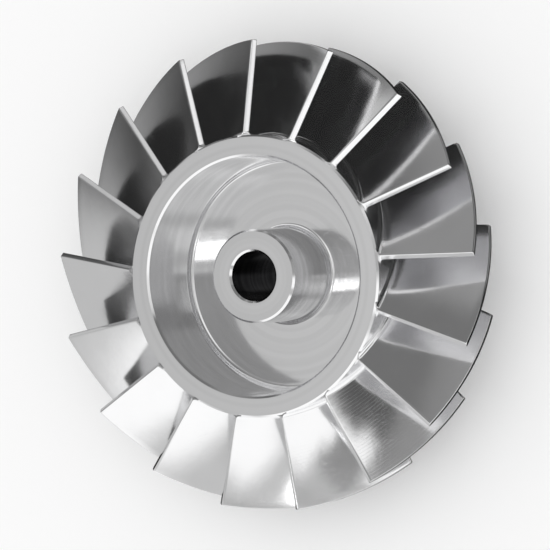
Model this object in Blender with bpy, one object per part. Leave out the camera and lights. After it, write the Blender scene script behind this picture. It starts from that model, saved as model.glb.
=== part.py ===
# One-piece axial impeller: a cupped drum with a bored centre boss and a row of cambered blades,
# all cut from one billet. Metres, +Z along the spin axis towards the open side of the cup, with the
# origin on the axis in the flat back face.

import math

import bmesh
import bpy

# Drum, turned
TIP_RADIUS = 0.060
DRUM_RADIUS = 0.0358
DRUM_HEIGHT = 0.026
CUP_RADIUS = 0.0305
CUP_DEPTH = 0.0204
CUP_FILLET = 0.0012
EDGE_BREAK = 0.0005

# Boss in the middle of the cup
BOSS_RADIUS = 0.0119
BOSS_SETBACK = 0.0012
BOSS_CHAMFER = 0.0004
BORE_RADIUS = 0.00635
BORE_CHAMFER = 0.0005

# Shallow groove turned in the back face
GROOVE_INNER_RADIUS = 0.0150
GROOVE_OUTER_RADIUS = 0.0222
GROOVE_DEPTH = 0.0015
GROOVE_SLOPE = 0.0009

# Blades, milled
BLADE_COUNT = 17
LEAD_DROP_ROOT = 0.0008
LEAD_DROP_TIP = 0.0030
LEAD_SKEW = math.radians(2.5)
TRAIL_DROP = 0.0158
TIP_WRAP = math.radians(28.0)
ROOT_WRAP = math.radians(34.1)
CAMBER = 0.3
ROOT_THICKNESS = 0.0017
TIP_THICKNESS = 0.0015
LAND_TILT = math.radians(50.0)
ROOT_FILLET = 0.0010
ROOT_BURY = 0.0012

# Facets
STEPS_PER_BLADE = 4
FILLET_STEPS = 3
BLADE_FILLET_STEPS = 2
CHORD_STEPS = 8
SPAN_STEPS = 2
MERGE_DISTANCE = 0.00001
CREASE_ANGLE = math.radians(30.0)

# Finish
ALUMINIUM = (0.80, 0.80, 0.81, 1.0)
METALLIC = 1.0
ROUGHNESS = 0.2


def clear_scene():
    for item in list(bpy.data.objects):
        bpy.data.objects.remove(item, do_unlink=True)


def make_material():
    material = bpy.data.materials.new("polished_aluminium")
    material.use_nodes = True
    shader = material.node_tree.nodes["Principled BSDF"]
    shader.inputs["Base Color"].default_value = ALUMINIUM
    shader.inputs["Metallic"].default_value = METALLIC
    shader.inputs["Roughness"].default_value = ROUGHNESS
    return material


def add_object(name, mesh):
    item = bpy.data.objects.new(name, mesh)
    bpy.context.scene.collection.objects.link(item)
    return item


def mark_as_cutter(item):
    item.hide_render = True
    item.display_type = "WIRE"


def arc(centre_r, centre_z, radius, start_deg, end_deg, steps):
    """Points of an arc in the turning plane, as (radius, height)."""
    points = []
    for i in range(steps + 1):
        angle = math.radians(start_deg + (end_deg - start_deg) * i / steps)
        points.append((centre_r + radius * math.cos(angle), centre_z + radius * math.sin(angle)))
    return points


def drum_profile():
    """The closed outline that is turned into the drum, from the rim down its outer side."""
    floor = DRUM_HEIGHT - CUP_DEPTH
    boss_top = DRUM_HEIGHT - BOSS_SETBACK
    outline = [
        (DRUM_RADIUS - EDGE_BREAK, DRUM_HEIGHT),
        (DRUM_RADIUS, DRUM_HEIGHT - EDGE_BREAK),
        (DRUM_RADIUS, EDGE_BREAK),
        (DRUM_RADIUS - EDGE_BREAK, 0.0),
        (GROOVE_OUTER_RADIUS, 0.0),
        (GROOVE_OUTER_RADIUS - GROOVE_SLOPE, GROOVE_DEPTH),
        (GROOVE_INNER_RADIUS + GROOVE_SLOPE, GROOVE_DEPTH),
        (GROOVE_INNER_RADIUS, 0.0),
        (BORE_RADIUS + BORE_CHAMFER, 0.0),
        (BORE_RADIUS, BORE_CHAMFER),
        (BORE_RADIUS, boss_top - BORE_CHAMFER),
        (BORE_RADIUS + BORE_CHAMFER, boss_top),
        (BOSS_RADIUS - BOSS_CHAMFER, boss_top),
        (BOSS_RADIUS, boss_top - BOSS_CHAMFER),
    ]
    outline += arc(BOSS_RADIUS + CUP_FILLET, floor + CUP_FILLET, CUP_FILLET, 180, 270, FILLET_STEPS)
    outline += arc(CUP_RADIUS - CUP_FILLET, floor + CUP_FILLET, CUP_FILLET, 270, 360, FILLET_STEPS)
    outline += [
        (CUP_RADIUS, DRUM_HEIGHT - EDGE_BREAK),
        (CUP_RADIUS + EDGE_BREAK, DRUM_HEIGHT),
    ]
    return outline


def make_drum(material):
    outline = drum_profile()
    mesh = bpy.data.meshes.new("impeller")
    points = [(r, 0.0, z) for r, z in outline]
    edges = [(i, (i + 1) % len(points)) for i in range(len(points))]
    mesh.from_pydata(points, edges, [])
    drum = add_object("impeller", mesh)
    mesh.materials.append(material)
    turn = drum.modifiers.new("turn", "SCREW")
    turn.axis = "Z"
    turn.steps = BLADE_COUNT * STEPS_PER_BLADE
    turn.render_steps = turn.steps
    turn.use_merge_vertices = True
    turn.merge_threshold = MERGE_DISTANCE
    return drum


def camber_line(along, drop_start, wrap):
    """Angle back from the leading edge, and height below the rim face, at a place along the chord."""
    angle = wrap * along
    depth = (1.0 + CAMBER) * along - CAMBER * along * along
    return angle, drop_start + (TRAIL_DROP - drop_start) * depth


def camber_slope(along, radius, drop_start, wrap):
    """How steeply the blade falls away from the plane of rotation."""
    fall = (TRAIL_DROP - drop_start) * ((1.0 + CAMBER) - 2.0 * CAMBER * along)
    return math.atan2(fall, wrap * radius)


def section(radius, drop_start, wrap, skew, thickness, flare):
    """Front and back curves of the blade on one cylinder, as (angle, height) pairs."""
    first_slope = camber_slope(0.0, radius, drop_start, wrap)
    chord = math.hypot(wrap * radius, TRAIL_DROP - drop_start)
    land_start = thickness / math.tan(first_slope + LAND_TILT) / chord
    front = []
    back = []
    for i in range(CHORD_STEPS + 1):
        share = i / CHORD_STEPS
        for side, start, curve in ((1.0, land_start, front), (-1.0, 0.0, back)):
            along = start + (1.0 - start) * share
            angle, drop = camber_line(along, drop_start, wrap)
            slope = camber_slope(along, radius, drop_start, wrap)
            offset = side * thickness / 2
            swing = offset * math.sin(slope) + side * flare / math.sin(slope)
            curve.append((skew + angle + swing / radius, DRUM_HEIGHT - drop + offset * math.cos(slope)))
    return front, back


def to_point(radius, pair):
    angle, height = pair
    return (radius * math.cos(angle), radius * math.sin(angle), height)


def mix(first, second, share):
    return tuple(a + (b - a) * share for a, b in zip(first, second))


def blade_stations():
    """Straight rulings from the root to the tip, cut into loops that widen into the root fillet."""
    root_r = DRUM_RADIUS
    tip_front, tip_back = section(TIP_RADIUS, LEAD_DROP_TIP, TIP_WRAP, 0.0, TIP_THICKNESS, 0.0)
    tip = [to_point(TIP_RADIUS, p) for p in tip_front + tip_back[::-1]]
    span = TIP_RADIUS - DRUM_RADIUS
    stations = []
    rises = [(-ROOT_BURY, ROOT_FILLET)]
    for i in range(BLADE_FILLET_STEPS + 1):
        turn = math.pi / 2 * (1.0 - i / BLADE_FILLET_STEPS)
        rises.append((ROOT_FILLET * (1.0 - math.sin(turn)), ROOT_FILLET * (1.0 - math.cos(turn))))
    for i in range(1, SPAN_STEPS + 1):
        rises.append((ROOT_FILLET + (span - ROOT_FILLET) * i / SPAN_STEPS, 0.0))
    for rise, flare in rises:
        front, back = section(root_r, LEAD_DROP_ROOT, ROOT_WRAP, LEAD_SKEW, ROOT_THICKNESS, flare)
        root = [to_point(root_r, p) for p in front + back[::-1]]
        stations.append([mix(a, b, rise / span) for a, b in zip(root, tip)])
    return stations


def make_blade_row():
    """One blade as a closed skin, repeated round the axis."""
    form = bmesh.new()
    loops = []
    for station in blade_stations():
        loops.append([form.verts.new(point) for point in station])
    count = len(loops[0])
    for lower, upper in zip(loops, loops[1:]):
        for i in range(count):
            j = (i + 1) % count
            form.faces.new((lower[i], lower[j], upper[j], upper[i]))
    for loop in (loops[0], loops[-1]):
        for i in range(CHORD_STEPS):
            form.faces.new((loop[i], loop[i + 1], loop[count - 2 - i], loop[count - 1 - i]))
    bmesh.ops.recalc_face_normals(form, faces=form.faces)
    mesh = bpy.data.meshes.new("blade_row")
    form.to_mesh(mesh)
    form.free()

    pitch = bpy.data.objects.new("blade_pitch", None)
    bpy.context.scene.collection.objects.link(pitch)
    pitch.rotation_euler.z = 2.0 * math.pi / BLADE_COUNT

    row = add_object("blade_row", mesh)
    repeat = row.modifiers.new("repeat", "ARRAY")
    repeat.count = BLADE_COUNT
    repeat.use_relative_offset = False
    repeat.use_object_offset = True
    repeat.offset_object = pitch
    mark_as_cutter(row)
    return row


def join_blades(drum, row):
    union = drum.modifiers.new("blades", "BOOLEAN")
    union.operation = "UNION"
    union.solver = "EXACT"
    union.object = row


def finish(drum):
    """The turned and joined solid as a plain mesh, smooth where it is round and crisp at its edges."""
    graph = bpy.context.evaluated_depsgraph_get()
    solid = bpy.data.meshes.new_from_object(drum.evaluated_get(graph))
    solid.shade_smooth()
    solid.set_sharp_from_angle(angle=CREASE_ANGLE)
    drum.modifiers.clear()
    drum.data = solid


clear_scene()
drum = make_drum(make_material())
join_blades(drum, make_blade_row())
finish(drum)
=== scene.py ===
import math

import bmesh
import bpy
from mathutils import Matrix, Vector


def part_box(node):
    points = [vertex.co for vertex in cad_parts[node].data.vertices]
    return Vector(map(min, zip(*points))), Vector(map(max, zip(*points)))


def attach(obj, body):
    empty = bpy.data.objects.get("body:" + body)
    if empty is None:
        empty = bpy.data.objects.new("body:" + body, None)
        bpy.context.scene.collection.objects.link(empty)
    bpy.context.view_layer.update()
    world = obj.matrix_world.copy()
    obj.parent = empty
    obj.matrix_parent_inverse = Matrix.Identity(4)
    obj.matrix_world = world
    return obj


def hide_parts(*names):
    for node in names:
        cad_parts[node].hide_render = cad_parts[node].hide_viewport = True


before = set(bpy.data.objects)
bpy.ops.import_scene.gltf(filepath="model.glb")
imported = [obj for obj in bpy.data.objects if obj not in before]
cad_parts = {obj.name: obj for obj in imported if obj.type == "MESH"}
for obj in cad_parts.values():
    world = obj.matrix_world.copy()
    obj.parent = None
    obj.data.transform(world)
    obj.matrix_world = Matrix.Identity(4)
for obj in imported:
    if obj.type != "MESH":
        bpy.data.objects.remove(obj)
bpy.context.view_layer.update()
bpy.ops.object.select_all(action="DESELECT")


# Drum
# The turned body of the wheel: a cup with a flat rim, and a boss left standing in its middle with a
# bore right through. It is turned from solid aluminium bar, with walls that lean a little, and it is
# polished bright. The boss's side is given darker greys as painted shade in the cup, and the bore
# near black greys as painted shade in the deep hole.
DRUM_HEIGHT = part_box("impeller")[1].z
DRUM_RADIUS = 0.0358
CUP_RADIUS = 0.0305
CUP_DEPTH = 0.0204
CUP_FLOOR = DRUM_HEIGHT - CUP_DEPTH
BOSS_RADIUS = 0.0119
BOSS_SETBACK = 0.0012
BOSS_TOP = DRUM_HEIGHT - BOSS_SETBACK
WALL_LEAN = math.tan(math.radians(1.5))
CUP_BASE_RADIUS = CUP_RADIUS - CUP_DEPTH * WALL_LEAN
BOSS_BASE_RADIUS = BOSS_RADIUS + (BOSS_TOP - CUP_FLOOR) * WALL_LEAN
BORE_RADIUS = 0.00635
GROOVE_OUTER_RADIUS = 0.0222
GROOVE_INNER_RADIUS = 0.0150
GROOVE_DEPTH = 0.0015
GROOVE_SLOPE = 0.0009
EDGE_BREAK = 0.0005
CUP_FILLET = 0.0012
FILLET_STEPS = 8
TURN_STEPS = 272
NEAR = 0.00002
MERGE_DISTANCE = NEAR / 4
CREASE = math.radians(32.0)

# Least part of an end face's normal, and most of a wall's, that points along the spin axis
END_FACE = 0.9
WALL_FACE = 0.1

# Light and dark greys that each metal varies between
ALUMINIUM = (0.95, 0.95, 0.955)
DULL_ALUMINIUM = (0.90, 0.90, 0.905)
# The boss's side: greys darkened as painted shade, for the shade down in the cup
PAINTED_SHADE_BOSS_LIGHT = (0.78, 0.78, 0.785)
PAINTED_SHADE_BOSS_DARK = (0.70, 0.70, 0.705)
# The bore: near black greys as painted shade, for the dark of the deep hole
PAINTED_SHADE_BORE_LIGHT = (0.09, 0.09, 0.095)
PAINTED_SHADE_BORE_DARK = (0.05, 0.05, 0.055)

# Lathe rings: their pitch in metres, and how patchy they are
TURNED_PITCH = 0.00045
TURNED_UNEVENNESS = 0.6
BORED_PITCH = 0.0003
BORED_UNEVENNESS = 0.3
STREAKS_PER_RING = 0.16
STREAK_RANGE = (0.4, 0.62)
RING_PATCHES_PER_METRE = 60.0
RING_PATCH_RANGE = (0.35, 0.65)

# Polish: the size of its clouds and scratches, in metres
TURNED_CLOUD = 0.012
TURNED_SCRATCH = 0.0011
BORED_CLOUD = 0.004
BORED_SCRATCH = 0.0008

# The three ways that scratches run, in radians, how far they are drawn out, and where noise shows them
SCRATCH_TURNS = ((0.3, 0.2, 0.5), (0.9, 1.4, 2.1), (1.7, 0.6, 3.6))
SCRATCH_STRETCH = (1.0, 0.05, 1.0)
SCRATCH_WIDTH = 0.012
SCRATCH_PATCHES_PER_METRE = 90.0
SCRATCH_PATCH_RANGE = (0.45, 0.62)
NOISE_MIDDLE = 0.5

# Roughness of the clean metal, what each mark adds to it, and each mark's height in metres
TURNED_ROUGHNESS = 0.07
TURNED_WEAR = {"Clouds": 0.08, "Streaks": -0.02, "Scratches": 0.06}
TURNED_RELIEF = {"Clouds": 0.00003, "Rings": 0.000001, "Scratches": -0.0000005}
BORED_ROUGHNESS = 0.20
BORED_WEAR = {"Clouds": 0.20}
BORED_RELIEF = {"Rings": 0.00001}


def edit(piece):
    """Opens one piece for editing, with nothing else selected."""
    bpy.ops.object.select_all(action="DESELECT")
    bpy.context.view_layer.objects.active = piece
    piece.select_set(True)
    bpy.ops.object.mode_set(mode="EDIT")


def pick(piece, kind, wanted):
    """Selects the edges or faces of an open piece that a test holds for, and nothing else."""
    bpy.ops.mesh.select_mode(type=kind)
    bpy.ops.mesh.select_all(action="DESELECT")
    form = bmesh.from_edit_mesh(piece.data)
    form.normal_update()
    for part in {"EDGE": form.edges, "FACE": form.faces}[kind]:
        if wanted(part):
            part.select_set(True)
    form.select_flush_mode()
    bmesh.update_edit_mesh(piece.data)


def close_up(piece):
    """Merges doubles, points the faces outwards and leaves edit mode."""
    bpy.ops.mesh.select_all(action="SELECT")
    bpy.ops.mesh.remove_doubles(threshold=MERGE_DISTANCE)
    bpy.ops.mesh.normals_make_consistent(inside=False)
    bpy.ops.mesh.select_all(action="DESELECT")
    bpy.ops.object.mode_set(mode="OBJECT")


def smooth(piece):
    """Shades round surfaces smooth, keeps flat faces flat and leaves machined edges crisp."""
    bpy.ops.object.shade_smooth_by_angle(angle=CREASE)
    weigh = piece.modifiers.new("flat_faces", "WEIGHTED_NORMAL")
    weigh.keep_sharp = True
    bpy.ops.object.modifier_apply(modifier=weigh.name)


def cover(piece, material, wanted):
    """Gives the faces that a test holds for a material of their own."""
    piece.data.materials.append(material)
    edit(piece)
    pick(piece, "FACE", wanted)
    piece.active_material_index = len(piece.data.materials) - 1
    bpy.ops.object.material_slot_assign()
    bpy.ops.object.mode_set(mode="OBJECT")


def disc(height, facing):
    """Test for the big round end face at a height that faces up or down."""
    return lambda face: (
        len(face.verts) == TURN_STEPS
        and face.normal.z * facing > END_FACE
        and abs(face.calc_center_median().z - height) < NEAR
    )


def ring(radius, height):
    """Test for the edges of one turned ring."""
    return lambda edge: all(
        abs(math.hypot(v.co.x, v.co.y) - radius) < NEAR and abs(v.co.z - height) < NEAR for v in edge.verts
    )


def wall(radius):
    """Test for the faces of a round upright wall."""
    return lambda face: (
        abs(face.normal.z) < WALL_FACE
        and abs(math.hypot(*face.calc_center_median().xy) - radius) < NEAR
    )


def extrude_by(rise, spread=1.0):
    """Pulls the picked face up or down, and widens or narrows its far end."""
    bpy.ops.mesh.extrude_region_move(TRANSFORM_OT_translate={"value": (0.0, 0.0, rise)})
    bpy.ops.transform.resize(value=(spread, spread, 1.0))


def turn_drum():
    """The drum, from a round blank: cup, boss and bore, then the groove in its back and the edges."""
    bpy.ops.mesh.primitive_cylinder_add(
        vertices=TURN_STEPS, radius=DRUM_RADIUS, depth=DRUM_HEIGHT, location=(0.0, 0.0, DRUM_HEIGHT / 2)
    )
    drum = bpy.context.active_object
    drum.name = "drum"
    bpy.ops.object.transform_apply(location=True, rotation=True, scale=True)
    edit(drum)
    pick(drum, "FACE", disc(DRUM_HEIGHT, 1.0))
    bpy.ops.mesh.inset(thickness=DRUM_RADIUS - CUP_RADIUS)
    extrude_by(-CUP_DEPTH, CUP_BASE_RADIUS / CUP_RADIUS)
    bpy.ops.mesh.inset(thickness=CUP_BASE_RADIUS - BOSS_BASE_RADIUS)
    extrude_by(BOSS_TOP - CUP_FLOOR, BOSS_RADIUS / BOSS_BASE_RADIUS)
    bpy.ops.mesh.inset(thickness=BOSS_RADIUS - BORE_RADIUS)
    extrude_by(-BOSS_TOP)
    bpy.ops.mesh.delete(type="FACE")
    pick(drum, "FACE", disc(0.0, -1.0))
    bpy.ops.mesh.inset(thickness=DRUM_RADIUS - GROOVE_OUTER_RADIUS)
    bpy.ops.mesh.inset(thickness=GROOVE_SLOPE, depth=-GROOVE_DEPTH)
    bpy.ops.mesh.inset(thickness=GROOVE_OUTER_RADIUS - GROOVE_INNER_RADIUS - 2.0 * GROOVE_SLOPE)
    bpy.ops.mesh.inset(thickness=GROOVE_SLOPE, depth=GROOVE_DEPTH)
    bpy.ops.mesh.inset(thickness=GROOVE_INNER_RADIUS - BORE_RADIUS)
    bpy.ops.mesh.delete(type="FACE")
    bpy.ops.mesh.select_all(action="SELECT")
    bpy.ops.mesh.remove_doubles(threshold=NEAR)
    chamfers = [
        (DRUM_RADIUS, DRUM_HEIGHT),
        (DRUM_RADIUS, 0.0),
        (CUP_RADIUS, DRUM_HEIGHT),
        (BOSS_RADIUS, BOSS_TOP),
        (BORE_RADIUS, BOSS_TOP),
        (BORE_RADIUS, 0.0),
    ]
    for radius, height in chamfers:
        pick(drum, "EDGE", ring(radius, height))
        bpy.ops.mesh.bevel(offset=EDGE_BREAK, segments=1, affect="EDGES")
    for radius in (CUP_BASE_RADIUS, BOSS_BASE_RADIUS):
        pick(drum, "EDGE", ring(radius, CUP_FLOOR))
        bpy.ops.mesh.bevel(offset=CUP_FILLET, segments=FILLET_STEPS, affect="EDGES")
    close_up(drum)
    smooth(drum)
    return drum


def add_node(tree, kind, **settings):
    """Adds a node and sets its own options."""
    made = tree.nodes.new(kind)
    for name, value in settings.items():
        setattr(made, name, value)
    return made


def feed(tree, socket, value):
    """Gives a socket a fixed value, or the output of another node."""
    if isinstance(value, bpy.types.NodeSocket):
        tree.links.new(value, socket)
    else:
        socket.default_value = value


def calc(tree, operation, *values):
    """One step of arithmetic."""
    step = add_node(tree, "ShaderNodeMath", operation=operation)
    for socket, value in zip(step.inputs, values):
        feed(tree, socket, value)
    return step.outputs[0]


def split_vector(tree, vector):
    """The three coordinates of a place or a direction."""
    split = add_node(tree, "ShaderNodeSeparateXYZ")
    feed(tree, split.inputs[0], vector)
    return split.outputs


def from_axis(tree, x, y):
    """Distance of a place from the spin axis."""
    squares = [calc(tree, "MULTIPLY", side, side) for side in (x, y)]
    return calc(tree, "SQRT", calc(tree, "ADD", *squares))


def remap(tree, value, low, high, new_low=0.0, new_high=1.0):
    """Turns one range into another with soft ends."""
    step = add_node(tree, "ShaderNodeMapRange", interpolation_type="SMOOTHSTEP")
    for socket, given in zip(step.inputs, (value, low, high, new_low, new_high)):
        feed(tree, socket, given)
    return step.outputs[0]


def noise(tree, scale, detail, place=None, along=None):
    """A noise pattern in space, or along one number."""
    pattern = add_node(tree, "ShaderNodeTexNoise", noise_dimensions="3D" if along is None else "1D")
    if along is None:
        feed(tree, pattern.inputs["Vector"], place)
    else:
        feed(tree, pattern.inputs["W"], along)
    feed(tree, pattern.inputs["Scale"], scale)
    pattern.inputs["Detail"].default_value = detail
    return pattern.outputs["Fac"]


def start_group(name, inputs, outputs):
    """A named effect with its own sockets: the group, what comes in and what goes out."""
    group = bpy.data.node_groups.new(name, "ShaderNodeTree")
    for socket, kind in inputs.items():
        group.interface.new_socket(name=socket, in_out="INPUT", socket_type=kind)
    for socket in outputs:
        group.interface.new_socket(name=socket, in_out="OUTPUT", socket_type="NodeSocketFloat")
    given = add_node(group, "NodeGroupInput").outputs
    result = add_node(group, "NodeGroupOutput").inputs
    return group, given, result


def use_group(tree, group, **values):
    """Places an effect in a material with its own values, and gives what it puts out by name."""
    placed = add_node(tree, "ShaderNodeGroup", node_tree=group)
    for name, value in values.items():
        feed(tree, placed.inputs[name.replace("_", " ")], value)
    return dict(placed.outputs.items())


def make_turning_rings():
    """Rings left by the lathe tool: they follow the radius on flat faces and the height on walls."""
    group, given, result = start_group(
        "turning_rings",
        {"Place": "NodeSocketVector", "Pitch": "NodeSocketFloat", "Unevenness": "NodeSocketFloat"},
        ["Rings", "Streaks"],
    )
    x, y, z = split_vector(group, given["Place"])
    travel = calc(group, "DIVIDE", calc(group, "ADD", from_axis(group, x, y), z), given["Pitch"])
    fine = noise(group, scale=1.0, detail=2.0, along=travel)
    broad = noise(group, scale=STREAKS_PER_RING, detail=1.0, along=travel)
    patchy = noise(group, scale=RING_PATCHES_PER_METRE, detail=2.0, place=given["Place"])
    shallow = calc(group, "SUBTRACT", 1.0, given["Unevenness"])
    depth = remap(group, patchy, *RING_PATCH_RANGE, new_low=shallow)
    feed(group, result["Rings"], calc(group, "MULTIPLY", fine, depth))
    feed(group, result["Streaks"], remap(group, broad, *STREAK_RANGE))
    return group


def make_polish():
    """What buffing leaves: soft clouds, and hairline scratches that run in three directions."""
    group, given, result = start_group(
        "polish",
        {"Place": "NodeSocketVector", "Cloud Size": "NodeSocketFloat", "Scratch Size": "NodeSocketFloat"},
        ["Clouds", "Scratches"],
    )
    clouds_per_metre = calc(group, "DIVIDE", 1.0, given["Cloud Size"])
    scratches_per_metre = calc(group, "DIVIDE", 1.0, given["Scratch Size"])
    scratches = 0.0
    for turn in SCRATCH_TURNS:
        stretch = add_node(group, "ShaderNodeMapping", vector_type="POINT")
        feed(group, stretch.inputs["Vector"], given["Place"])
        feed(group, stretch.inputs["Rotation"], turn)
        feed(group, stretch.inputs["Scale"], SCRATCH_STRETCH)
        grain = noise(group, scale=scratches_per_metre, detail=0.0, place=stretch.outputs[0])
        off_middle = calc(group, "ABSOLUTE", calc(group, "SUBTRACT", grain, NOISE_MIDDLE))
        line = remap(group, off_middle, 0.0, SCRATCH_WIDTH, new_low=1.0, new_high=0.0)
        scratches = calc(group, "MAXIMUM", line, scratches)
    patchy = noise(group, scale=SCRATCH_PATCHES_PER_METRE, detail=1.0, place=given["Place"])
    seen = remap(group, patchy, *SCRATCH_PATCH_RANGE)
    clouds = noise(group, scale=clouds_per_metre, detail=3.0, place=given["Place"])
    feed(group, result["Clouds"], clouds)
    feed(group, result["Scratches"], calc(group, "MULTIPLY", scratches, seen))
    return group


def start_metal(name):
    """A bare metal material: its node tree, its shader and the place on the piece."""
    metal = bpy.data.materials.new(name)
    metal.use_nodes = True
    tree = metal.node_tree
    shader = tree.nodes["Principled BSDF"]
    shader.inputs["Metallic"].default_value = 1.0
    place = add_node(tree, "ShaderNodeTexCoord").outputs["Object"]
    return metal, tree, shader, place


def tint(tree, shader, amount, dark, light):
    """Varies the metal's colour between two greys."""
    mix = add_node(tree, "ShaderNodeMix", data_type="RGBA")
    feed(tree, mix.inputs["Factor"], amount)
    mix.inputs["A"].default_value = (*dark, 1.0)
    mix.inputs["B"].default_value = (*light, 1.0)
    feed(tree, shader.inputs["Base Color"], mix.outputs["Result"])


def roughen(tree, shader, marks, base, wear):
    """Builds up the roughness from that of the clean metal and what each mark adds to it."""
    rough = base
    for mark, share in wear.items():
        rough = calc(tree, "MULTIPLY_ADD", marks[mark], share, rough)
    feed(tree, shader.inputs["Roughness"], rough)


def raise_marks(tree, shader, marks, relief):
    """Raises or sinks the surface by each mark in turn, to its height in metres."""
    normal = None
    for mark, height in relief.items():
        bump = add_node(tree, "ShaderNodeBump")
        bump.inputs["Strength"].default_value = 1.0
        bump.inputs["Distance"].default_value = height
        feed(tree, bump.inputs["Height"], marks[mark])
        if normal:
            feed(tree, bump.inputs["Normal"], normal)
        normal = bump.outputs["Normal"]
    feed(tree, shader.inputs["Normal"], normal)


def make_turned_metal(name, rings, polish, dark, light):
    """Lathe-turned and buffed faces: bright, with faint rings."""
    metal, tree, shader, place = start_metal(name)
    marks = use_group(tree, rings, Place=place, Pitch=TURNED_PITCH, Unevenness=TURNED_UNEVENNESS)
    marks |= use_group(tree, polish, Place=place, Cloud_Size=TURNED_CLOUD, Scratch_Size=TURNED_SCRATCH)
    tint(tree, shader, marks["Streaks"], dark, light)
    roughen(tree, shader, marks, TURNED_ROUGHNESS, TURNED_WEAR)
    raise_marks(tree, shader, marks, TURNED_RELIEF)
    return metal


def make_shaded_bore_metal(rings, polish):
    """The reamed bore: duller, and painted near black as painted shade in the deep hole, with close rings."""
    metal, tree, shader, place = start_metal("bore_painted_shade")
    marks = use_group(tree, rings, Place=place, Pitch=BORED_PITCH, Unevenness=BORED_UNEVENNESS)
    marks |= use_group(tree, polish, Place=place, Cloud_Size=BORED_CLOUD, Scratch_Size=BORED_SCRATCH)
    tint(tree, shader, marks["Streaks"], PAINTED_SHADE_BORE_DARK, PAINTED_SHADE_BORE_LIGHT)
    roughen(tree, shader, marks, BORED_ROUGHNESS, BORED_WEAR)
    raise_marks(tree, shader, marks, BORED_RELIEF)
    return metal


turning_rings = make_turning_rings()
polish = make_polish()
drum = turn_drum()
drum.data.materials.append(
    make_turned_metal("turned_aluminium", turning_rings, polish, DULL_ALUMINIUM, ALUMINIUM)
)
# The bore: near black metal as painted shade
cover(drum, make_shaded_bore_metal(turning_rings, polish), wall(BORE_RADIUS))
# The boss's side: the turned metal in darker greys, as painted shade
cover(
    drum,
    make_turned_metal("boss_painted_shade", turning_rings, polish, PAINTED_SHADE_BOSS_DARK, PAINTED_SHADE_BOSS_LIGHT),
    wall((BOSS_RADIUS + BOSS_BASE_RADIUS) / 2),
)
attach(drum, "root")
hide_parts("impeller")


# Blades
# Seventeen thin blades, milled from the same bar: a twisted, cambered sheet whose leading edge is cut
# square, tips turned to size, a small edge break all round and a fillet at the root. The cutter's
# round passes still show faintly through the polish.
BLADE_COUNT = 17
TIP_RADIUS = 0.060
LEAD_DROP_ROOT = 0.0008
LEAD_DROP_TIP = 0.0030
LEAD_SKEW = math.radians(2.5)
TRAIL_DROP = 0.0158
TIP_WRAP = math.radians(28.0)
ROOT_WRAP = math.radians(34.1)
CAMBER = 0.3
ROOT_THICKNESS = 0.0017
TIP_THICKNESS = 0.0015
LAND_TILT = math.radians(50.0)
ROOT_FILLET = 0.0010
ROOT_BURY = 0.0004
BLADE_BREAK = 0.0002
BREAK_STEPS = 2
BLANK = 1.0
CHORD_CUTS = 48
SPAN_CUTS = 14
SHARP_EDGE = math.radians(40.0)

# Passes of the cutter: their pitch and wander in metres, and how uneven they are
PASS_PITCH = 0.0008
PASS_WANDER = 0.0003
WANDERS_PER_METRE = 120.0
UNEVENNESS_PER_PASS = 1.3
UNEVEN_SHARE = 0.5
WAVE_SHARE = 0.3
CUSP_RANGE = (0.6, 1.0)
PASS_PATCHES_PER_METRE = 70.0
PASS_PATCH_RANGE = (0.4, 0.65)

# Polish of the milled metal, given as for the drum
MILLED_CLOUD = 0.007
MILLED_SCRATCH = 0.0010
MILLED_ROUGHNESS = 0.08
MILLED_WEAR = {"Clouds": 0.08, "Cusps": 0.05, "Scratches": 0.10}
MILLED_RELIEF = {"Clouds": 0.00003, "Passes": 0.0000005, "Scratches": -0.0000005}


def root_rises():
    """Heights above the drum of the rings that make the root fillet, and how far each one flares."""
    rises = [(-ROOT_BURY, ROOT_FILLET)]
    for step in range(FILLET_STEPS + 1):
        turn = math.pi / 2 * (1.0 - step / FILLET_STEPS)
        rises.append((ROOT_FILLET * (1.0 - math.sin(turn)), ROOT_FILLET * (1.0 - math.cos(turn))))
    span = TIP_RADIUS - DRUM_RADIUS - ROOT_FILLET
    rises += [(ROOT_FILLET + span * step / SPAN_CUTS, 0.0) for step in range(1, SPAN_CUTS + 1)]
    return rises


def section_point(radius, along, side, drop_start, wrap, skew, thickness, flare):
    """A point of the blade's section on one cylinder: along the chord, on its front or its back."""

    def slope(share):
        fall = (TRAIL_DROP - drop_start) * (1.0 + CAMBER - 2.0 * CAMBER * share)
        return math.atan2(fall, wrap * radius)

    chord = math.hypot(wrap * radius, TRAIL_DROP - drop_start)
    start = thickness / math.tan(slope(0.0) + LAND_TILT) / chord if side > 0.0 else 0.0
    along = start + (1.0 - start) * along
    depth = (1.0 + CAMBER) * along - CAMBER * along * along
    lean = slope(along)
    swing = side * (thickness / 2 * math.sin(lean) + flare / math.sin(lean))
    angle = skew + wrap * along + swing / radius
    middle = DRUM_HEIGHT - drop_start - (TRAIL_DROP - drop_start) * depth
    height = middle + side * thickness / 2 * math.cos(lean)
    return Vector((radius * math.cos(angle), radius * math.sin(angle), height))


def blade_point(along, side, rise, flare):
    """A point of the blade: every ruling is straight, from the root section to the tip section."""
    root = section_point(
        DRUM_RADIUS, along, side, LEAD_DROP_ROOT, ROOT_WRAP, LEAD_SKEW, ROOT_THICKNESS, flare
    )
    tip = section_point(TIP_RADIUS, along, side, LEAD_DROP_TIP, TIP_WRAP, 0.0, TIP_THICKNESS, 0.0)
    return root.lerp(tip, rise / (TIP_RADIUS - DRUM_RADIUS))


def runs_along(axis):
    """Test for the edges of the blank that run along one axis."""
    return lambda edge: abs((edge.verts[0].co - edge.verts[1].co)[axis]) > BLANK / 2


def sharp_and_clear(edge):
    """Test for the blade's sharp edges that stand clear of the drum."""
    reach = max(math.hypot(vert.co.x, vert.co.y) for vert in edge.verts)
    return edge.calc_face_angle(0.0) > SHARP_EDGE and reach > DRUM_RADIUS + NEAR


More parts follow.
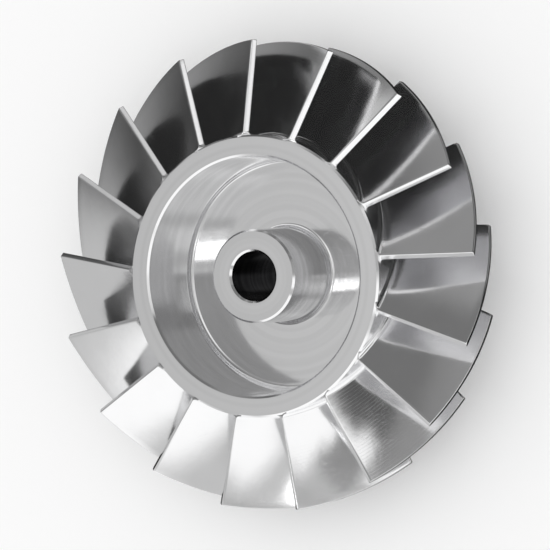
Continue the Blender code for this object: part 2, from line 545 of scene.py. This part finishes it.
def mill_blade():
    """The first blade: a flat blank, cut into strips and rings and pressed to its cambered shape."""
    rises = root_rises()
    bpy.ops.mesh.primitive_cube_add(size=BLANK, location=(BLANK / 2, BLANK / 2, BLANK / 2))
    blade = bpy.context.active_object
    blade.name = "blade_01"
    bpy.ops.object.transform_apply(location=True, rotation=True, scale=True)
    edit(blade)
    pick(blade, "EDGE", runs_along(0))
    bpy.ops.mesh.subdivide(number_cuts=CHORD_CUTS - 1)
    pick(blade, "EDGE", runs_along(1))
    bpy.ops.mesh.subdivide(number_cuts=len(rises) - 2)
    form = bmesh.from_edit_mesh(blade.data)
    for vert in form.verts:
        rise, flare = rises[round(vert.co.y * (len(rises) - 1))]
        side = 1.0 if vert.co.z > BLANK / 2 else -1.0
        vert.co = blade_point(vert.co.x, side, rise, flare)
    form.normal_update()
    bmesh.update_edit_mesh(blade.data)
    bpy.ops.mesh.select_all(action="SELECT")
    bpy.ops.mesh.normals_make_consistent(inside=False)
    pick(blade, "EDGE", sharp_and_clear)
    bpy.ops.mesh.bevel(offset=BLADE_BREAK, segments=BREAK_STEPS, affect="EDGES")
    close_up(blade)
    smooth(blade)
    return blade


def make_milling_passes():
    """Shallow round passes of the cutter, at a constant radius, with uneven depth."""
    group, given, result = start_group(
        "milling_passes",
        {"Place": "NodeSocketVector", "Pitch": "NodeSocketFloat"},
        ["Passes", "Cusps"],
    )
    x, y, _ = split_vector(group, given["Place"])
    wander = noise(group, scale=WANDERS_PER_METRE, detail=1.0, place=given["Place"])
    reach = calc(group, "MULTIPLY_ADD", wander, PASS_WANDER, from_axis(group, x, y))
    passes = calc(group, "DIVIDE", reach, given["Pitch"])
    wave = calc(group, "COSINE", calc(group, "MULTIPLY", passes, math.tau))
    uneven = noise(group, scale=UNEVENNESS_PER_PASS, detail=2.0, along=passes)
    patches = noise(group, scale=PASS_PATCHES_PER_METRE, detail=2.0, place=given["Place"])
    seen = remap(group, patches, *PASS_PATCH_RANGE)
    scallop = calc(group, "MULTIPLY", calc(group, "MULTIPLY_ADD", wave, WAVE_SHARE, uneven), seen)
    feed(group, result["Passes"], calc(group, "MULTIPLY_ADD", uneven, UNEVEN_SHARE, scallop))
    feed(group, result["Cusps"], calc(group, "MULTIPLY", remap(group, wave, *CUSP_RANGE), seen))
    return group


def make_milled_metal(passes, polish):
    """Milled and buffed blades: mirror bright and slightly wavy, with faint passes."""
    metal, tree, shader, place = start_metal("milled_aluminium")
    marks = use_group(tree, passes, Place=place, Pitch=PASS_PITCH)
    marks |= use_group(tree, polish, Place=place, Cloud_Size=MILLED_CLOUD, Scratch_Size=MILLED_SCRATCH)
    tint(tree, shader, marks["Clouds"], DULL_ALUMINIUM, ALUMINIUM)
    roughen(tree, shader, marks, MILLED_ROUGHNESS, MILLED_WEAR)
    raise_marks(tree, shader, marks, MILLED_RELIEF)
    return metal


# The cutter that shapes the blades also leaves the drum's side between them
milled_aluminium = make_milled_metal(make_milling_passes(), polish)
cover(drum, milled_aluminium, wall(DRUM_RADIUS))

blades = [mill_blade()]
blades[0].data.materials.append(milled_aluminium)
for number in range(2, BLADE_COUNT + 1):
    copy = blades[0].copy()
    copy.data = blades[0].data.copy()
    copy.name = f"blade_{number:02d}"
    bpy.context.scene.collection.objects.link(copy)
    copy.data.transform(Matrix.Rotation(math.tau * (number - 1) / BLADE_COUNT, 4, "Z"))
    blades.append(copy)
for blade in blades:
    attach(blade, "root")
    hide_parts("impeller")


# Floor
# A plain pale matt sheet that the wheel lies on. The metal mirrors the studio and not this sheet, and
# from below it is clear, so that the wheel's back can be looked at.
FLOOR_SIZE = 4.0
FLOOR_GAP = 0.0002
FLOOR_ROUGHNESS = 0.9
PALE = (0.97, 0.97, 0.97, 1.0)


def make_floor_paint():
    """Matt paint that is clear from below."""
    paint = bpy.data.materials.new("pale_floor")
    paint.use_nodes = True
    tree = paint.node_tree
    shader = tree.nodes["Principled BSDF"]
    shader.inputs["Base Color"].default_value = PALE
    shader.inputs["Roughness"].default_value = FLOOR_ROUGHNESS
    shader.inputs["Specular IOR Level"].default_value = 0.0
    clear = add_node(tree, "ShaderNodeBsdfTransparent")
    sides = add_node(tree, "ShaderNodeMixShader")
    feed(tree, sides.inputs[0], add_node(tree, "ShaderNodeNewGeometry").outputs["Backfacing"])
    feed(tree, sides.inputs[1], shader.outputs[0])
    feed(tree, sides.inputs[2], clear.outputs[0])
    feed(tree, tree.nodes["Material Output"].inputs["Surface"], sides.outputs[0])
    return paint


bpy.ops.mesh.primitive_plane_add(size=FLOOR_SIZE, location=(0.0, 0.0, -FLOOR_GAP))
floor = bpy.context.active_object
floor.name = "floor"
floor.data.materials.append(make_floor_paint())
floor.visible_glossy = False


# Camera
# It looks down on the open side from the wheel's right, as in the photograph, with the spin axis
# leaning to the left of the picture.
CAMERA_AIM = Vector((0.0, 0.0, DRUM_HEIGHT / 2))
CAMERA_AZIMUTH = math.radians(3.1)
CAMERA_TILT = math.radians(28.6)
CAMERA_ROLL = math.radians(-93.05)
CAMERA_DISTANCE = 0.5137
CAMERA_LENS = 130.0

lens = bpy.data.cameras.new("camera")
lens.lens = CAMERA_LENS
camera = bpy.data.objects.new("camera", lens)
bpy.context.scene.collection.objects.link(camera)
camera.matrix_world = (
    Matrix.Translation(CAMERA_AIM)
    @ Matrix.Rotation(CAMERA_AZIMUTH, 4, "Z")
    @ Matrix.Rotation(CAMERA_TILT, 4, "X")
    @ Matrix.Translation((0.0, 0.0, CAMERA_DISTANCE))
    @ Matrix.Rotation(CAMERA_ROLL, 4, "Z")
)
bpy.context.scene.camera = camera


# Studio light
# Soft even white for the floor. The metal mirrors a photographer's room: a pale ceiling, dark air
# below, a big white wall on one side, dark flags, and two small windows high up on the camera's side.
STRAIGHT_DOWN = -90.0
HALF_TURN = 180.0

# The bare room's greys, by elevation in degrees
ROOM = [(-90, 0.02), (-25, 0.02), (-10, 0.05), (5, 0.13), (20, 0.25), (45, 0.40), (62, 0.53), (72, 0.60)]

# Each card's azimuth, elevation, half width, half height and softness in degrees, and its brightness
CARDS = {
    "low_wall": (157, -38, 38, 20, 10, 0.30),
    "low_grey": (112, -32, 16, 20, 10, 0.14),
    "side_card": (56, -4, 10, 14, 3, 0.55),
    "side_card_low": (70, -23, 5, 7, 2, 0.50),
    "low_ring": (-55, -61, 42, 5, 3, 0.28),
    "grey_wall": (138, 25, 20, 42, 9, 0.53),
    "pale_wall": (160, 25, 13, 42, 6, 0.62),
    "pale_ceiling": (-135, 58, 60, 14, 8, 0.56),
    "white_wall": (-148, 0, 56, 44, 6, 1.05),
    "white_wall_top": (-124, 44, 24, 8, 4, 1.05),
    "left_pillar": (-176, 50, 6, 10, 6, 0.55),
    "middle_pillar": (-144, 56, 7, 14, 6, 0.42),
    "right_pillar": (-106, 56, 8, 12, 6, 0.42),
    "sill": (-121, 26, 7, 3, 3, 0.35),
    "high_flag": (-15, 58, 78, 9, 3, 0.27),
    "skylight": (-30, 75, 60, 5.5, 2.5, 1.00),
    "near_flag": (-25, 30, 34, 20, 5, 0.17),
    "side_flag": (22, 26, 14, 20, 8, 0.27),
    "long_strip": (-75, 18, 28, 6, 3, 0.95),
    "middle_strip": (-28, 11, 16, 6, 3, 0.65),
    "short_strip": (0, 4, 12, 6, 3, 0.55),
    "white_card": (-80, 42, 20, 9, 3, 1.05),
    "black_flag": (-51, 44, 10, 11, 4, 0.09),
    "white_card_top": (-71.5, 50.5, 14.5, 3, 1.5, 1.05),
    "left_window": (-116, 64.3, 10, 1.9, 1, 2.5),
    "right_window": (-131, 68, 9, 2.6, 1.2, 2.5),
}
PAPER_WHITE = (1.0, 1.0, 1.0, 1.0)
MIRROR_STEPS = 16


def elevation_of(tree, up):
    """Elevation of a direction in degrees, from its upward part."""
    return calc(tree, "DEGREES", calc(tree, "ARCSINE", up))


def make_soft_card():
    """A card with soft edges in one direction of the room, in degrees, over what is behind it."""
    names = ["Behind", "Azimuth", "Elevation", "Half Width", "Half Height", "Softness", "Brightness"]
    inputs = {name: "NodeSocketFloat" for name in names}
    inputs["Direction"] = "NodeSocketVector"
    group, given, result = start_group("soft_card", inputs, ["Light"])
    turn = add_node(group, "ShaderNodeVectorRotate", rotation_type="Z_AXIS")
    feed(group, turn.inputs["Vector"], given["Direction"])
    feed(group, turn.inputs["Angle"], calc(group, "MULTIPLY", calc(group, "RADIANS", given["Azimuth"]), -1.0))
    x, y, z = split_vector(group, turn.outputs[0])
    aside = calc(group, "ABSOLUTE", calc(group, "DEGREES", calc(group, "ARCTAN2", y, x)))
    above = calc(group, "ABSOLUTE", calc(group, "SUBTRACT", elevation_of(group, z), given["Elevation"]))
    spans = []
    for away, half in ((aside, given["Half Width"]), (above, given["Half Height"])):
        inner = calc(group, "SUBTRACT", half, given["Softness"])
        outer = calc(group, "ADD", half, given["Softness"])
        spans.append(remap(group, away, inner, outer, new_low=1.0, new_high=0.0))
    inside = calc(group, "MULTIPLY", *spans)
    change = calc(group, "SUBTRACT", given["Brightness"], given["Behind"])
    feed(group, result["Light"], calc(group, "MULTIPLY_ADD", change, inside, given["Behind"]))
    return group


def make_room(tree, direction):
    """The room's own brightness, from straight down to straight up."""
    up = split_vector(tree, direction)["Z"]
    rise = calc(tree, "SUBTRACT", elevation_of(tree, up), STRAIGHT_DOWN)
    ramp = add_node(tree, "ShaderNodeValToRGB")
    feed(tree, ramp.inputs[0], calc(tree, "DIVIDE", rise, HALF_TURN))
    stops = ramp.color_ramp.elements
    while len(stops) < len(ROOM):
        stops.new(0.5)
    for stop, (elevation, grey) in zip(stops, ROOM):
        stop.position = (elevation - STRAIGHT_DOWN) / HALF_TURN
        stop.color = (grey, grey, grey, 1.0)
    return ramp.outputs["Color"]


def make_studio():
    """The world: the room with its cards for what the metal mirrors, and plain white for the rest."""
    world = bpy.data.worlds.new("studio")
    world.use_nodes = True
    world.cycles.sampling_method = "NONE"
    tree = world.node_tree
    direction = add_node(tree, "ShaderNodeTexCoord").outputs["Generated"]
    soft_card = make_soft_card()
    light = make_room(tree, direction)
    for azimuth, elevation, half_width, half_height, softness, brightness in CARDS.values():
        card = use_group(
            tree,
            soft_card,
            Behind=light,
            Direction=direction,
            Azimuth=azimuth,
            Elevation=elevation,
            Half_Width=half_width,
            Half_Height=half_height,
            Softness=softness,
            Brightness=brightness,
        )
        light = card["Light"]
    mirrored = tree.nodes["Background"]
    feed(tree, mirrored.inputs["Color"], light)
    even = add_node(tree, "ShaderNodeBackground")
    even.inputs["Color"].default_value = PAPER_WHITE
    path = add_node(tree, "ShaderNodeLightPath").outputs
    split = add_node(tree, "ShaderNodeMixShader")
    feed(tree, split.inputs[0], calc(tree, "MAXIMUM", path["Is Camera Ray"], path["Is Diffuse Ray"]))
    feed(tree, split.inputs[1], mirrored.outputs[0])
    feed(tree, split.inputs[2], even.outputs[0])
    feed(tree, tree.nodes["World Output"].inputs["Surface"], split.outputs[0])
    return world


bpy.context.scene.world = make_studio()
bpy.context.scene.cycles.max_bounces = MIRROR_STEPS
bpy.context.scene.cycles.glossy_bounces = MIRROR_STEPS
bpy.context.scene.view_settings.view_transform = "Standard"
